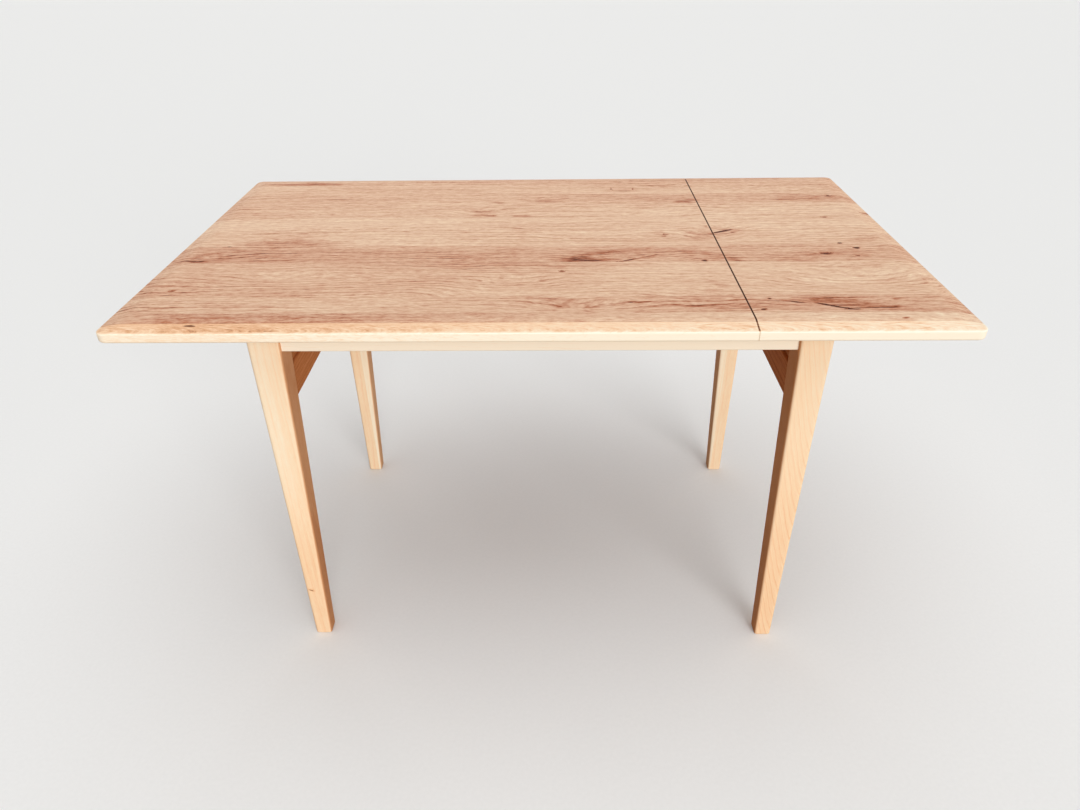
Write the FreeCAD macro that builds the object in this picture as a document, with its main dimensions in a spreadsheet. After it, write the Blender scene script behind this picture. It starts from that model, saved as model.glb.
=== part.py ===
import FreeCAD, Part
import os
import sys
import re

import Sketcher
from FreeCAD import Placement, Rotation, Vector

# Extending dining table in pale hardwood. A four-legged frame carries a main top that slides
# along the frame on dovetail runners, and a loose end leaf that draws off along its two arms.
# Origin: on the floor, under the centre of the extended top. +X is the length, with the leaf
# at +X, -Y is the front and +Z is up. Lengths are millimetres.

document = FreeCAD.newDocument("ExtendingTable")
sheet = document.addObject("Spreadsheet::Sheet", "Sizes")

SIZES = (
    ("The two panels of the top", (
        ("main_length", 895.7),
        ("leaf_length", 303.7),
        ("seam_gap", 0.6),
        ("top_width", 702.0),
        ("top_thick", 20.0),
        ("table_height", 688.0),
        ("plan_corner", 15.0),
        ("slope_width", 28.0),
        ("slope_drop", 6.0),
        ("ridge_round", 60.0),
        ("lip_round", 2.0),
        ("lower_arris", 3.0),
    )),
    ("Legs and the outline of the frame", (
        ("frame_length", 862.0),
        ("frame_width", 540.0),
        ("leg_head", 51.0),
        ("leg_foot", 29.5),
        ("leg_edge_round", 5.0),
        ("foot_arris", 2.0),
        ("top_clearance", 0.5),
    )),
    ("Aprons", (
        ("apron_thick", 20.0),
        ("apron_depth", 60.0),
        ("apron_setback", 6.0),
        ("board_arris", 2.0),
        ("stub_tenon_length", 12.0),
        ("tenon_thick", 10.0),
        ("tenon_shoulder", 9.0),
    )),
    ("End rails, an upper board on a thicker lower one", (
        ("rail_setback", 6.0),
        ("lower_rail_thick", 22.0),
        ("lower_rail_depth", 54.0),
        ("upper_rail_depth", 105.5),
        ("rail_ledge", 5.0),
        ("ledge_round", 3.0),
        ("rail_tenon_length", 22.0),
        ("rail_tenon_drop", 46.0),
    )),
    ("Cross rails", (
        ("cross_rail_offset", 210.0),
        ("cross_rail_width", 40.0),
        ("cross_rail_depth", 50.0),
        ("cross_tenon_length", 10.0),
    )),
    ("Dovetail runners and their stop pads", (
        ("runner_offset", 140.0),
        ("runner_narrow", 28.0),
        ("runner_wide", 38.0),
        ("runner_depth", 22.0),
        ("slide_clearance", 0.4),
        ("stop_pad_thick", 3.0),
        ("stop_pad_width", 20.0),
        ("stop_pad_height", 14.0),
        ("stop_clearance", 0.3),
    )),
    ("Leaf arms", (
        ("arm_offset", 75.0),
        ("arm_width", 32.0),
        ("arm_depth", 22.0),
        ("arm_reach", 145.0),
        ("arm_grip", 195.0),
        ("arm_nose_bevel", 4.0),
        ("arm_relief", 0.5),
    )),
    ("Dowels at the seam", (
        ("dowel_radius", 5.0),
        ("dowel_in_leaf", 22.0),
        ("dowel_out", 22.0),
        ("dowel_spread", 230.0),
        ("dowel_point", 1.5),
        ("dowel_clearance", 0.08),
        ("dowel_end_room", 2.0),
    )),
    ("Steel stiffeners let into the underside", (
        ("stiffener_width", 30.0),
        ("stiffener_height", 8.0),
        ("stiffener_wall", 2.0),
        ("stiffener_length", 560.0),
        ("stiffener_room", 0.2),
        ("stiffener_sink", 0.3),
        ("left_stiffener_inset", 95.0),
        ("right_stiffener_inset", 45.0),
        ("leaf_stiffener_inset", 52.0),
        ("stiffener_screw_pitch", 120.0),
    )),
    ("Glide strips on the end rails", (
        ("glide_width", 9.0),
        ("glide_thick", 2.0),
        ("glide_proud", 0.2),
        ("glide_length", 410.0),
        ("glide_notch_margin", 4.0),
    )),
    ("Corner blocks and leg bolts", (
        ("block_clearance", 4.0),
        ("block_width", 26.0),
        ("block_ear", 78.0),
        ("block_ear_thick", 14.0),
        ("block_height", 44.0),
        ("block_drop", 6.0),
        ("bolt_radius", 4.0),
        ("bolt_drop", 26.0),
        ("bolt_in_leg", 30.0),
        ("bolt_tail", 3.0),
        ("washer_radius", 9.0),
        ("washer_thick", 1.6),
        ("nut_radius", 7.5),
        ("nut_height", 6.5),
    )),
    ("Wood screws", (
        ("screw_radius", 2.0),
        ("screw_head_radius", 4.0),
        ("screw_head_height", 3.0),
        ("screw_length", 36.0),
        ("block_screw_length", 26.0),
        ("short_screw_length", 10.0),
        ("pan_head_height", 2.2),
        ("hole_room", 0.1),
    )),
    ("Overrun of the cuts, and how near a point counts as on a surface", (
        ("overrun", 2.0),
        ("edge_tolerance", 0.01),
    )),
)

# Sizes that follow from the driving ones.
DERIVED = (
    ("top_length", "main_length + leaf_length + seam_gap"),
    ("underside", "table_height - top_thick"),
    ("frame_top", "underside - top_clearance"),
    ("seam_place", "main_length - top_length / 2 + seam_gap / 2"),
    ("slide_travel", "(leaf_length + seam_gap) / 2"),
    ("leg_slope", "(leg_head - leg_foot) / frame_top"),
    ("apron_face", "frame_width / 2 - apron_setback"),
    ("apron_back", "apron_face - apron_thick"),
    ("apron_foot", "frame_top - apron_depth"),
    ("rail_inner", "frame_length / 2 - leg_head + rail_setback"),
    ("rail_outer", "rail_inner + lower_rail_thick"),
    ("rail_upper_inner", "rail_inner + rail_ledge"),
    ("rail_ledge_height", "frame_top - upper_rail_depth"),
    ("rail_foot", "rail_ledge_height - lower_rail_depth"),
    ("runner_end", "rail_upper_inner - stop_pad_thick - stop_clearance"),
    ("runner_length", "2 * runner_end - slide_travel"),
    ("arm_length", "arm_reach + arm_grip"),
    ("arm_start", "seam_place - arm_reach"),
    ("bolt_height", "frame_top - bolt_drop"),
    ("leg_corner_sum", "rail_upper_inner + apron_back - (frame_length + frame_width) / 2 + 2 * leg_head"),
    ("block_outer", "leg_corner_sum + block_clearance"),
    ("block_inner", "block_outer + block_width"),
    ("bolt_span", "(block_inner - leg_corner_sum) / sqrt(2)"),
    ("bolt_length", "bolt_in_leg + bolt_span + washer_thick + nut_height + bolt_tail"),
    ("dowel_height", "table_height - top_thick / 2"),
    ("web_face", "underside + stiffener_sink + stiffener_height - stiffener_wall"),
    ("strip_centre", "(rail_upper_inner + rail_outer) / 2"),
)

row = 1
for heading, entries in SIZES + (("Worked out from the sizes above", DERIVED),):
    sheet.set("A%d" % row, heading)
    row += 1
    for alias, content in entries:
        written = str(content) if isinstance(content, float) else "=" + content
        sheet.set("A%d" % row, alias.replace("_", " "))
        sheet.set("B%d" % row, written)
        sheet.setAlias("B%d" % row, alias)
        row += 1
document.recompute()

ALIASES = [alias for heading, entries in SIZES for alias, content in entries]
ALIASES += [alias for alias, content in DERIVED]
WORD = re.compile(r"\b(" + "|".join(ALIASES) + r")\b")

# The corners, named, with their side in X, their side in Y and the turn about Z that brings a
# piece drawn for the front left corner round to its own.
CORNERS = (
    ("front_left", -1, -1, 0),
    ("front_right", 1, -1, 90),
    ("rear_right", 1, 1, 180),
    ("rear_left", -1, 1, 270),
)
SIDES = (("front", -1), ("rear", 1))
ENDS = (("left", -1), ("right", 1))
UP = Vector(0, 0, 1)

# Where screws stand along a piece, as shares of its length.
RUNNER_SCREW_SHARES = (0.08, 0.36, 0.64, 0.92)
ARM_SCREW_SHARES = (0.2, 0.5, 0.8)


def sized(formula):
    """Point each size's name in a formula at its cell."""
    return WORD.sub(r"Sizes.\1", formula)


def evaluate(formula):
    """The present value of a formula of the sizes."""
    return float(sheet.evalExpression(formula))


def near(value, formula):
    return abs(value - evaluate(formula)) < evaluate("edge_tolerance")


def bind(item, **formulas):
    """Tie properties of an object to formulas of the sizes."""
    for name, formula in formulas.items():
        item.setExpression(name, sized(formula))


def place(item, at, turn=None):
    """Put an object at a point written in formulas, turned by a fixed rotation."""
    item.Placement = Placement(Vector(), turn or Rotation())
    for axis, formula in zip("xyz", at):
        item.setExpression("Placement.Base." + axis, sized(formula))
    return item


def on_side(sign, formula):
    """A coordinate on one side of zero."""
    return "%d * (%s)" % (sign, formula)


def span_from(sign, inner, outer):
    """The lower coordinate of a span from inner to outer, on one side of zero."""
    return inner if sign > 0 else "-(%s)" % outer


def add(kind, label):
    item = document.addObject(kind, kind.split("::")[1])
    item.Label = label
    return item


def box(label, low, span):
    item = add("Part::Box", label)
    bind(item, Length=span[0], Width=span[1], Height=span[2])
    return place(item, low)


def rod(label, radius, length, at, along=UP):
    item = add("Part::Cylinder", label)
    bind(item, Radius=radius, Height=length)
    return place(item, at, Rotation(UP, along))


def cone(label, low_radius, high_radius, length, at, along=UP):
    item = add("Part::Cone", label)
    bind(item, Radius1=low_radius, Radius2=high_radius, Height=length)
    return place(item, at, Rotation(UP, along))


def joined(label, items):
    item = add("Part::MultiFuse", label)
    item.Shapes = items
    return item


def grouped(label, items):
    item = add("Part::Compound", label)
    item.Links = items
    return item


def cut(label, base, tools):
    item = add("Part::Cut", label)
    item.Base = base
    item.Tool = tools[0] if len(tools) == 1 else grouped(label + " cutters", tools)
    return item


def edge_names(feature, wanted):
    """Names of the edges whose ends and middle all satisfy a test."""
    names = []
    for number, edge in enumerate(feature.Shape.Edges, 1):
        middle = edge.valueAt((edge.FirstParameter + edge.LastParameter) / 2)
        points = [vertex.Point for vertex in edge.Vertexes] + [middle]
        if all(wanted(point) for point in points):
            names.append("Edge%d" % number)
    return names


def outline(body, name, plane, points):
    """A closed sketch of straight lines, its corners written in formulas of the sizes."""
    sketch = body.newObject("Sketcher::SketchObject", name)
    support = next(item for item in body.Origin.OriginFeatures if item.Role == plane)
    sketch.AttachmentSupport = [(support, "")]
    sketch.MapMode = "FlatFace"
    values = [[evaluate(formula) for formula in point] for point in points]
    corners = [Vector(*value) for value in values]
    for start, end in zip(corners, corners[1:] + corners[:1]):
        sketch.addGeometry(Part.LineSegment(start, end))
    for line in range(len(points)):
        after = (line + 1) % len(points)
        sketch.addConstraint(Sketcher.Constraint("Coincident", line, 2, after, 1))
    axis_of = {"DistanceX": -2, "DistanceY": -1}
    for line, (value, point) in enumerate(zip(values, points)):
        for kind, number, formula in zip(axis_of, value, point):
            if number == 0:
                on_axis = Sketcher.Constraint("PointOnObject", line, 1, axis_of[kind])
                sketch.addConstraint(on_axis)
                continue
            rule = Sketcher.Constraint(kind, -1, 1, line, 1, number)
            index = sketch.addConstraint(rule)
            sketch.setExpression("Constraints[%d]" % index, sized(formula))
    return sketch


def pad(body, sketch, length):
    feature = body.newObject("PartDesign::Pad", "Pad")
    feature.Profile = sketch
    bind(feature, Length=length)
    document.recompute()
    return feature


def pocket(body, sketch):
    """Cut a sketched shape away over the whole length of a body."""
    feature = body.newObject("PartDesign::Pocket", "Pocket")
    feature.Profile = sketch
    feature.Type = "ThroughAll"
    feature.Midplane = True
    document.recompute()
    return feature


def rounded(body, base, names, radius):
    feature = body.newObject("PartDesign::Fillet", "Rounding")
    feature.Base = (base, names)
    bind(feature, Radius=radius)
    document.recompute()
    return feature


def bevelled(body, base, names, size):
    feature = body.newObject("PartDesign::Chamfer", "Bevel")
    feature.Base = (base, names)
    bind(feature, Size=size)
    document.recompute()
    return feature


def rectangle(span):
    return ("0", "0"), (span[0], "0"), (span[0], span[1]), ("0", span[1])


def lower_edges(point):
    return near(point.z, "0")


def board(label, low, span, eased=((lower_edges, "board_arris"),)):
    """A rectangular board whose chosen edges, tested in its own frame, are rounded."""
    body = add("PartDesign::Body", label)
    feature = pad(body, outline(body, "Plan", "XY_Plane", rectangle(span)), span[2])
    for wanted, radius in eased:
        feature = rounded(body, feature, edge_names(feature, wanted), radius)
    return place(body, low)


def dovetail(label, narrow, wide, depth, length, at):
    """A bar along X, narrow at the top, that hangs below its own origin."""
    body = add("PartDesign::Body", label)
    half = "(%s) / 2"
    section = (
        (half % ("-1 * (%s)" % narrow), "0"),
        (half % ("-1 * (%s)" % wide), "-1 * (%s)" % depth),
        (half % wide, "-1 * (%s)" % depth),
        (half % narrow, "0"),
    )
    pad(body, outline(body, "Section", "YZ_Plane", section), length)
    return place(body, at)


def screw(label, at, along, length, room="0"):
    """A countersunk screw whose head is flush at its starting point, or the hole for one."""
    head = cone(
        label + " head",
        "screw_head_radius + " + room,
        "screw_radius + " + room,
        "screw_head_height",
        at,
        along,
    )
    shank = rod(label + " shank", "screw_radius + " + room, length + " + " + room, at, along)
    return joined(label, [head, shank])


def screws_with_holes(label, stations, length):
    """Screws at the stations, and the holes that they stand in."""
    made = [
        screw("%s %d" % (label, number), at, along, length)
        for number, (at, along) in enumerate(stations, 1)
    ]
    holes = [
        screw("%s hole %d" % (label, number), at, along, length, "hole_room")
        for number, (at, along) in enumerate(stations, 1)
    ]
    return made, holes


nodes = []


def keep(item):
    nodes.append(item)


# Legs before their joints are cut: square, tapering on the two inner sides only, so that
# the two outer faces stay upright.


def leg_blank(corner, side_x, side_y, turn):
    body = add("PartDesign::Body", corner + "_leg blank")
    taper = body.newObject("PartDesign::AdditiveWedge", "Taper")
    bind(taper, Xmin="0", Xmax="leg_foot", X2min="0", X2max="leg_head")
    bind(taper, Zmin="-leg_foot", Zmax="0", Z2min="-leg_head", Z2max="0")
    bind(taper, Ymin="0", Ymax="frame_top")
    taper.Placement = Placement(Vector(), Rotation(Vector(1, 0, 0), UP, Vector(0, -1, 0), "XYZ"))
    document.recompute()
    half_way = evaluate("frame_top / 2")
    long_edges = [
        "Edge%d" % number
        for number, edge in enumerate(taper.Shape.Edges, 1)
        if edge.BoundBox.ZLength > half_way
    ]
    soft = rounded(body, taper, long_edges, "leg_edge_round")
    rounded(body, soft, edge_names(soft, lower_edges), "foot_arris")
    at = on_side(side_x, "frame_length / 2"), on_side(side_y, "frame_width / 2"), "0"
    return place(body, at, Rotation(UP, turn))


legs = {(x, y): leg_blank(corner, x, y, turn) for corner, x, y, turn in CORNERS}
leg_cuts = {sides: [] for sides in legs}


def between_legs(label, blank, sides, tenons, cutters=()):
    """A rail trimmed to the faces of two legs, with its tenons, less what is cut from it."""
    trimmed = cut(label + " shoulders", blank, [legs[side] for side in sides])
    for tenon, side in zip(tenons, sides):
        leg_cuts[side].append(tenon)
    whole = label + " uncut" if cutters else label
    rail = joined(whole, [trimmed, *tenons])
    return cut(label, rail, list(cutters)) if cutters else rail


# Tools shared by the frame: the ways of the runners and of the leaf arms.


def runner_way(x_centre, side):
    length = "cross_rail_width + 2 * overrun"
    return dovetail(
        "Runner way",
        "runner_narrow + 2 * slide_clearance",
        "runner_wide + 2 * slide_clearance",
        "runner_depth + slide_clearance",
        length,
        ("%s - (%s) / 2" % (x_centre, length), on_side(side, "runner_offset"), "underside"),
    )


def arm_way(x_low, x_span, side, margin="slide_clearance"):
    width = "arm_width + 2 * " + margin
    return box(
        "Arm way",
        (
            "%s - overrun" % x_low,
            "%s - (%s) / 2" % (on_side(side, "arm_offset"), width),
            "underside - arm_depth - slide_clearance",
        ),
        (x_span + " + 2 * overrun", width, "arm_depth + slide_clearance"),
    )


# Cross rails: two boards from apron to apron. The runners pass through dovetail notches in
# both, which hold the top down, and the leaf arms through square notches in the right one.

cross_tenons = {side: [] for name, side in SIDES}
for end, end_sign in ENDS:
    centre = on_side(end_sign, "cross_rail_offset")
    low_x = centre + " - cross_rail_width / 2"
    blank = board(
        end + "_cross_rail blank",
        (low_x, "-apron_back", "frame_top - cross_rail_depth"),
        ("cross_rail_width", "2 * apron_back", "cross_rail_depth"),
    )
    tenons = []
    for name, side in SIDES:
        tenon = box(
            "%s_cross_rail %s tenon" % (end, name),
            (
                low_x + " + tenon_shoulder",
                span_from(side, "apron_back - tenon_shoulder", "apron_back + cross_tenon_length"),
                "frame_top - cross_rail_depth + tenon_shoulder",
            ),
            (
                "cross_rail_width - 2 * tenon_shoulder",
                "cross_tenon_length + tenon_shoulder",
                "cross_rail_depth - 2 * tenon_shoulder",
            ),
        )
        tenons.append(tenon)
        cross_tenons[side].append(tenon)
    ways = [runner_way(centre, side) for name, side in SIDES]
    if end == "right":
        ways += [arm_way(low_x, "cross_rail_width", side) for name, side in SIDES]
    rail = joined(end + "_cross_rail uncut", [blank, *tenons])
    keep(cut(end + "_cross_rail", rail, ways))


# Corner blocks: a diagonal bar with two ears, screwed to the apron and to the end rail, and
# a bolt from the leg through its middle with a washer and a nut.

blocks = []
block_stations = {"apron": {}, "rail": {}}
bolts = []
washers = []
nuts = []
for corner, side_x, side_y, turn in CORNERS:
    body = add("PartDesign::Body", corner + "_corner_block blank")
    plan = (
        ("block_outer", "0"),
        ("block_ear", "0"),
        ("block_ear", "block_ear_thick"),
        ("block_inner - block_ear_thick", "block_ear_thick"),
        ("block_ear_thick", "block_inner - block_ear_thick"),
        ("block_ear_thick", "block_ear"),
        ("0", "block_ear"),
        ("0", "block_outer"),
    )
    pad(body, outline(body, "Plan", "XY_Plane", plan), "block_height")
    at = (
        on_side(side_x, "rail_upper_inner"),
        on_side(side_y, "apron_back"),
        "frame_top - block_drop - block_height",
    )
    place(body, at, Rotation(UP, turn))
    inward = Vector(-side_x, -side_y, 0)

    def along_bolt(distance):
        """A point on the bolt's axis, at a distance from the leg's inner corner."""
        return (
            on_side(side_x, "frame_length / 2 - leg_head - (%s) / sqrt(2)" % distance),
            on_side(side_y, "frame_width / 2 - leg_head - (%s) / sqrt(2)" % distance),
            "bolt_height",
        )

    start = along_bolt("-1 * bolt_in_leg")
    bolts.append(rod("Leg bolt", "bolt_radius", "bolt_length", start, inward))
    hole = rod("Bolt hole", "bolt_radius + hole_room", "bolt_length", start, inward)
    leg_cuts[side_x, side_y].append(hole)
    face = along_bolt("bolt_span")
    disc = rod("Washer disc", "washer_radius", "washer_thick", face, inward)
    washers.append(cut("Washer", disc, [hole]))
    prism = add("Part::Prism", "Nut prism")
    prism.Polygon = 6
    bind(prism, Circumradius="nut_radius", Height="nut_height")
    place(prism, along_bolt("bolt_span + washer_thick"), Rotation(UP, inward))
    nuts.append(cut("Nut", prism, [hole]))

    screw_line = "(block_ear + block_inner - block_ear_thick) / 2"
    block_middle = "frame_top - block_drop - block_height / 2"
    to_apron = (
        (
            on_side(side_x, "rail_upper_inner - " + screw_line),
            on_side(side_y, "apron_back - block_ear_thick"),
            block_middle,
        ),
        Vector(0, side_y, 0),
    )
    to_rail = (
        (
            on_side(side_x, "rail_upper_inner - block_ear_thick"),
            on_side(side_y, "apron_back - " + screw_line),
            block_middle,
        ),
        Vector(side_x, 0, 0),
    )
    block_stations["apron"][side_x, side_y] = to_apron
    block_stations["rail"][side_x, side_y] = to_rail
    blocks.append((corner, body, hole, side_x, side_y))

block_screws = []
block_holes = {"apron": {}, "rail": {}}
for target, stations in block_stations.items():
    made, holes = screws_with_holes(target + " screw", stations.values(), "block_screw_length")
    block_screws += made
    block_holes[target] = dict(zip(stations, holes))
for corner, body, hole, side_x, side_y in blocks:
    screw_holes = [block_holes[target][side_x, side_y] for target in block_holes]
    keep(cut(corner + "_corner_block", body, [hole, *screw_holes]))
keep(grouped("block_screws", block_screws))
keep(grouped("leg_bolts", bolts))
keep(grouped("leg_washers", washers))
keep(grouped("leg_nuts", nuts))


# Aprons: shallow boards along the front and the rear, with a stub tenon into each leg.

for name, side in SIDES:
    label = name + "_apron"
    blank = board(
        label + " blank",
        ("leg_foot - frame_length / 2", span_from(side, "apron_back", "apron_face"), "apron_foot"),
        ("frame_length - 2 * leg_foot", "apron_thick", "apron_depth"),
    )
    start = "frame_length / 2 - leg_head"
    tenon_face = "apron_face - (apron_thick %s tenon_thick) / 2"
    tenons = [
        box(
            "%s %s tenon" % (label, end),
            (
                span_from(end_sign, start + " - tenon_shoulder", start + " + stub_tenon_length"),
                span_from(side, tenon_face % "+", tenon_face % "-"),
                "apron_foot + tenon_shoulder",
            ),
            (
                "tenon_shoulder + stub_tenon_length",
                "tenon_thick",
                "apron_depth - 2 * tenon_shoulder",
            ),
        )
        for end, end_sign in ENDS
    ]
    ends_here = [(end_sign, side) for end, end_sign in ENDS]
    holes = [block_holes["apron"][sides] for sides in ends_here]
    keep(between_legs(label, blank, ends_here, tenons, cross_tenons[side] + holes))


# End rails: a thin upper board flush outside with a thicker lower one, which leaves a
# narrow rounded ledge inside. The leaf arms pass through notches in the right upper board.


def rail_tenon(label, end_sign, side, foot, height):
    start = "frame_width / 2 - leg_head"
    middle = "(rail_inner + rail_outer) / 2"
    return box(
        label,
        (
            span_from(end_sign, middle + " - tenon_thick / 2", middle + " + tenon_thick / 2"),
            span_from(side, start + " - tenon_shoulder", start + " + rail_tenon_length"),
            foot,
        ),
        ("tenon_thick", "tenon_shoulder + rail_tenon_length", height),
    )


for end, end_sign in ENDS:
    sides_here = [(end_sign, side) for name, side in SIDES]
    low_y = "leg_foot - frame_width / 2"
    long_y = "frame_width - 2 * leg_foot"

    inner_face = "lower_rail_thick" if end_sign < 0 else "0"

    def ledge_edge(point):
        return near(point.z, "lower_rail_depth") and near(point.x, inner_face)

    lower = board(
        end + "_lower_rail blank",
        (span_from(end_sign, "rail_inner", "rail_outer"), low_y, "rail_foot"),
        ("lower_rail_thick", long_y, "lower_rail_depth"),
        ((lower_edges, "board_arris"), (ledge_edge, "ledge_round")),
    )
    tenons = [
        rail_tenon(
            "%s_lower_rail %s tenon" % (end, name),
            end_sign,
            side,
            "rail_foot + tenon_shoulder",
            "lower_rail_depth - 2 * tenon_shoulder",
        )
        for name, side in SIDES
    ]
    keep(between_legs(end + "_lower_rail", lower, sides_here, tenons))

    upper = board(
        end + "_upper_rail blank",
        (span_from(end_sign, "rail_upper_inner", "rail_outer"), low_y, "rail_ledge_height"),
        ("lower_rail_thick - rail_ledge", long_y, "upper_rail_depth"),
        (),
    )
    tenons = [
        rail_tenon(
            "%s_upper_rail %s tenon" % (end, name),
            end_sign,
            side,
            "rail_ledge_height + tenon_shoulder",
            "upper_rail_depth - tenon_shoulder - rail_tenon_drop",
        )
        for name, side in SIDES
    ]
    strip = box(
        end + "_glide_strip uncut",
        (
            on_side(end_sign, "strip_centre") + " - glide_width / 2",
            "-glide_length / 2",
            "frame_top + glide_proud - glide_thick",
        ),
        ("glide_width", "glide_length", "glide_thick"),
    )
    low_x = span_from(end_sign, "rail_upper_inner", "rail_outer")
    ways = []
    if end == "right":
        thick = "lower_rail_thick - rail_ledge"
        wide_ways = [arm_way(low_x, thick, side, "glide_notch_margin") for name, side in SIDES]
        strip = cut("right_glide_strips", strip, wide_ways)
        ways = [arm_way(low_x, thick, side) for name, side in SIDES]
    else:
        strip.Label = "left_glide_strip"
    keep(strip)
    holes = [block_holes["rail"][sides] for sides in sides_here]
    keep(between_legs(end + "_upper_rail", upper, sides_here, tenons, [strip, *holes, *ways]))

    pads = [
        box(
            "Stop pad",
            (
                span_from(end_sign, "rail_upper_inner - stop_pad_thick", "rail_upper_inner"),
                on_side(side, "runner_offset") + " - stop_pad_width / 2",
                "underside - (runner_depth + stop_pad_height) / 2",
            ),
            ("stop_pad_thick", "stop_pad_width", "stop_pad_height"),
        )
        for name, side in SIDES
    ]
    keep(grouped(end + "_stop_pads", pads))

for corner, side_x, side_y, turn in CORNERS:
    keep(cut(corner + "_leg", legs[side_x, side_y], leg_cuts[side_x, side_y]))


# Panels of the top. Towards its outer edges the upper face slopes down a little, over a
# softened ridge, to a small lip above an upright edge. The edge at the seam is square.


def panel(label, length, outer_end, low_x):
    body = add("PartDesign::Body", label + " blank")
    plan = outline(body, "Plan", "XY_Plane", rectangle((length, "top_width")))
    slab = pad(body, plan, "top_thick")
    corner = evaluate("plan_corner")
    width = evaluate("top_width")
    thick = evaluate("top_thick")
    lip_height = thick - evaluate("slope_drop")

    def on_rim(point):
        """Whether a point stands over the plan's rounded outline, seam apart."""
        from_end = corner - abs(point.x - evaluate(outer_end))
        from_side = corner - min(point.y, width - point.y)
        return near((max(from_end, 0) ** 2 + max(from_side, 0) ** 2) ** 0.5, "plan_corner")

    ends = edge_names(slab, lambda point: near(point.x, outer_end))
    upright = [
        name for name in ends if slab.Shape.getElement(name).BoundBox.ZLength > lip_height
    ]
    slab = rounded(body, slab, upright, "plan_corner")
    lower = edge_names(slab, lambda point: near(point.z, "0") and on_rim(point))
    slab = rounded(body, slab, lower, "lower_arris")

    low = "top_thick - slope_drop * (1 + overrun / slope_width)"
    inside = "slope_width * (1 + overrun / slope_drop)"
    high = "top_thick + overrun"
    inward = 1 if outer_end == "0" else -1
    sides = (
        ("Front slope", "YZ_Plane", "0", 1),
        ("Rear slope", "YZ_Plane", "top_width", -1),
        ("End slope", "XZ_Plane", outer_end, inward),
    )
    for name, plane, edge, sign in sides:
        away = "%s - %d * overrun" % (edge, sign)
        wedge = (away, low), ("%s + %d * %s" % (edge, sign, inside), high), (away, high)
        slab = pocket(body, outline(body, name, plane, wedge))

    upper = edge_names(slab, lambda point: point.z > lip_height - evaluate("edge_tolerance"))
    rim = edge_names(slab, on_rim)
    seam_end = length if outer_end == "0" else "0"
    seam = edge_names(slab, lambda point: near(point.x, seam_end))
    ridges = [name for name in upper if name not in rim and name not in seam]
    slab = rounded(body, slab, ridges, "ridge_round")
    lip = edge_names(
        slab,
        lambda point: on_rim(point) and point.z > lip_height - evaluate("edge_tolerance"),
    )
    lip = [name for name in lip if slab.Shape.getElement(name).BoundBox.ZLength < corner / 2]
    rounded(body, slab, lip, "lip_round")
    return place(body, (low_x, "-top_width / 2", "underside"))


def dovetail_runner(name, side):
    at = "-runner_end", on_side(side, "runner_offset"), "underside"
    sizes = "runner_narrow", "runner_wide", "runner_depth", "runner_length"
    return dovetail(name + "_runner blank", *sizes, at)


def stiffener(label, centre):
    """A steel channel, open below, with its groove, its screws and their holes."""
    low = centre + " - stiffener_width / 2", "-stiffener_length / 2", "underside + stiffener_sink"
    outer = box("Channel", low, ("stiffener_width", "stiffener_length", "stiffener_height"))
    hollow = box(
        "Channel hollow",
        (low[0] + " + stiffener_wall", low[1] + " - overrun", low[2] + " - overrun"),
        (
            "stiffener_width - 2 * stiffener_wall",
            "stiffener_length + 2 * overrun",
            "stiffener_height - stiffener_wall + overrun",
        ),
    )
    groove = box(
        "Groove",
        (low[0] + " - stiffener_room", low[1] + " - stiffener_room", "underside - overrun"),
        (
            "stiffener_width + 2 * stiffener_room",
            "stiffener_length + 2 * stiffener_room",
            "stiffener_height + stiffener_sink + overrun",
        ),
    )
    screws = []
    holes = []
    for step in range(-2, 3):
        at = centre, "%d * stiffener_screw_pitch" % step, "web_face"
        head_at = at[0], at[1], "web_face - pan_head_height"
        head = rod("Pan head", "screw_head_radius", "pan_head_height", head_at)
        shank = rod("Pan head shank", "screw_radius", "short_screw_length", at)
        screws.append(joined("Pan head screw", [head, shank]))
        room = "short_screw_length + hole_room"
        holes.append(rod("Pan head hole", "screw_radius + hole_room", room, at))
    return cut(label, outer, [hollow, *holes]), groove, screws, holes


# The main top with its runners and stiffeners.

top_cuts = []
stations = []
for name, side in SIDES:
    stations += [
        (
            (
                "%g * runner_length - runner_end" % share,
                on_side(side, "runner_offset"),
                "underside - runner_depth",
            ),
            UP,
        )
        for share in RUNNER_SCREW_SHARES
    ]
runner_screws, runner_holes = screws_with_holes("Runner screw", stations, "screw_length")
for number, (name, side) in enumerate(SIDES):
    count = len(RUNNER_SCREW_SHARES)
    holes = runner_holes[number * count:(number + 1) * count]
    keep(cut(name + "_runner", dovetail_runner(name, side), holes))
keep(grouped("runner_screws", runner_screws))
top_cuts += runner_holes

stiffener_screws = []
for name, centre in (
    ("left", "left_stiffener_inset - top_length / 2"),
    ("right", "seam_place - right_stiffener_inset"),
):
    channel, groove, screws, holes = stiffener(name + "_stiffener", centre)
    keep(channel)
    stiffener_screws += screws
    top_cuts += [groove, *holes]
keep(grouped("stiffener_screws", stiffener_screws))

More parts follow.
